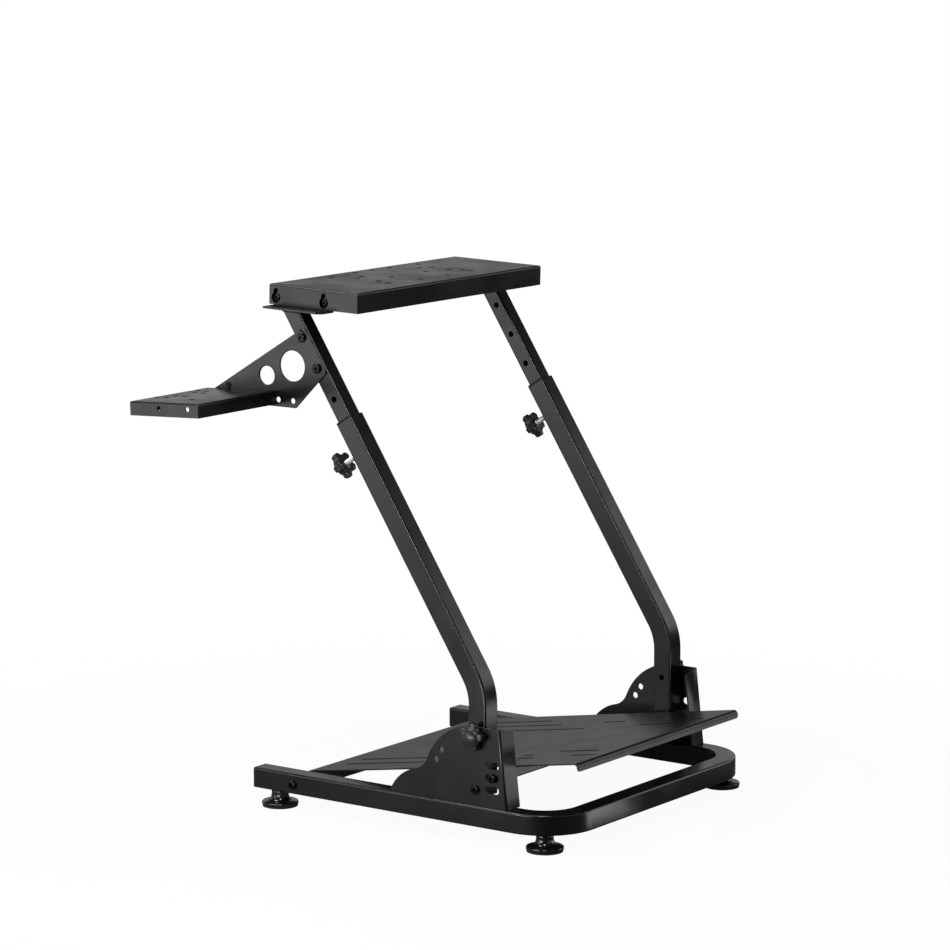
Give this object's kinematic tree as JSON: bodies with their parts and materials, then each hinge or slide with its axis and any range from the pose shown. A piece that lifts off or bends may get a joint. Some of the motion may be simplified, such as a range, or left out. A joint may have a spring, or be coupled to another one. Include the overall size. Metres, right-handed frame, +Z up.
{
  "type": "racing wheel stand",
  "caption": "folding bent-tube stand with telescopic leaning uprights carrying a wheel plate, a side shifter tray and a tilted pedal plate on levelling feet",
  "frame": {"origin": "on the floor, under the middle of the whole stand's bounding box", "axes": "+Z up, +Y the way the driver faces, +X the driver's right, the shifter side"},
  "size_m": [0.689, 0.6208, 0.7555],
  "materials": {
    "frame_paint": "satin black powder coat",
    "head_paint": "satin black powder coat",
    "pedal_paint": "satin black powder coat",
    "black_bolt": "black oxide",
    "zinc": "zinc plated",
    "knob": "moulded black",
    "foot": "moulded black, glossy",
    "cap": "moulded black",
    "pad": "moulded rubber"
  },
  "bodies": {
    "base": {"base_frame": "frame_paint", "rail_cap_right": "cap", "rail_cap_left": "cap", "foot_front_right": "foot", "foot_rear_right": "foot", "foot_front_left": "foot", "foot_rear_left": "foot", "foot_pads": "pad", "foot_studs": "zinc", "side_plate_right": "frame_paint", "side_plate_left": "frame_paint", "rear_crossbar": "frame_paint", "pedal_support_bar": "frame_paint", "pedal_plate": "pedal_paint", "rear_bar_bolts": "black_bolt", "support_bar_bolts": "black_bolt", "pivot_bolt_right": "black_bolt", "pivot_bolt_left": "black_bolt"},
    "uprights": {"lower_tube_right": "frame_paint", "lower_tube_left": "frame_paint", "clamp_nut_right": "frame_paint", "clamp_nut_left": "frame_paint", "tube_collar_right": "cap", "tube_collar_left": "cap"},
    "head": {"upper_tube_right": "frame_paint", "upper_tube_left": "frame_paint", "top_bracket_right": "head_paint", "top_bracket_left": "head_paint", "wheel_plate": "head_paint", "wheel_plate_bolts": "black_bolt", "shifter_gusset": "head_paint", "shifter_tray": "head_paint", "gusset_bolts": "black_bolt", "tray_bolts": "black_bolt"},
    "height_clamp_right": {"height_knob_right": "knob", "height_screw_right": "zinc"},
    "height_clamp_left": {"height_knob_left": "knob", "height_screw_left": "zinc"},
    "lock_clamp_right": {"lock_knob_right": "knob", "lock_screw_right": "zinc"},
    "lock_clamp_left": {"lock_knob_left": "knob", "lock_screw_left": "zinc"}
  },
  "joints": [
    {"name": "fold", "type": "hinge", "parent": "base", "child": "uprights", "pos_m": [-0.074, 0.16689, 0.077], "axis": [1, 0, 0], "range_deg": [0, 63]},
    {"name": "height_slide", "type": "slide", "parent": "uprights", "child": "head", "axis": [0, -0.5417, 0.8406], "range_m": [-0.05, 0.1]},
    {"name": "height_knob_right_spin", "type": "hinge", "parent": "uprights", "child": "height_clamp_right", "pos_m": [0.159, -0.04941, 0.52493], "axis": [0, -0.8406, -0.5417], "continuous": true},
    {"name": "lock_knob_right_spin", "type": "hinge", "parent": "base", "child": "lock_clamp_right", "pos_m": [0.178, 0.16689, 0.153], "axis": [1, 0, 0], "continuous": true},
    {"name": "height_knob_left_spin", "type": "hinge", "parent": "uprights", "child": "height_clamp_left", "pos_m": [-0.307, -0.04941, 0.52493], "axis": [0, -0.8406, -0.5417], "continuous": true},
    {"name": "lock_knob_left_spin", "type": "hinge", "parent": "base", "child": "lock_clamp_left", "pos_m": [-0.326, 0.16689, 0.153], "axis": [-1, 0, 0], "continuous": true}
  ]
}
